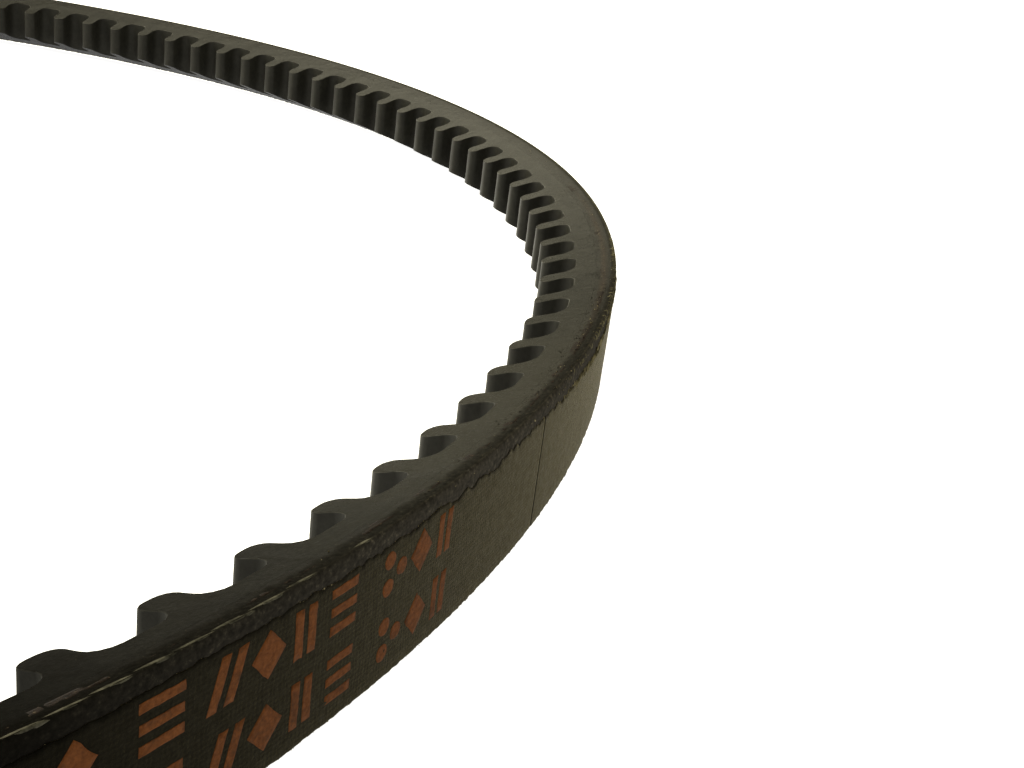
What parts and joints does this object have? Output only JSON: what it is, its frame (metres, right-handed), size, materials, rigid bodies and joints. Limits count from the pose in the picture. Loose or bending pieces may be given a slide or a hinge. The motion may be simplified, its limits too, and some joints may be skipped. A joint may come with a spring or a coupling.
{
  "type": "v belt",
  "caption": "Endless raw-edge V belt with moulded cogs across its inside, a fabric back and sloping ground flanks, for a V-groove pulley drive.",
  "frame": {"origin": "centre of the loop, halfway across the belt's width", "axes": "+Z along the loop's axis, across the belt's width; the belt lies on its side; +X runs through the centre of a groove between two cogs"},
  "size_m": [0.2992, 0.2992, 0.01],
  "materials": {
    "back_fabric": "rubberised woven canvas, olive grey, matte",
    "gum_rubber": "black, torn and ground, matte",
    "cord_yarn": "twisted polyester yarn, dipped",
    "base_rubber": "fibre-filled rubber, smooth in the grooves and ground on the flanks",
    "marking_ink": "dull orange printed ink, thin and worn"
  },
  "bodies": {
    "root": {"back_fabric": "back_fabric", "overcord_rubber": "gum_rubber", "cushion_gum": "gum_rubber", "tension_cord": "cord_yarn", "cogged_base": "base_rubber"}
  },
  "joints": []
}
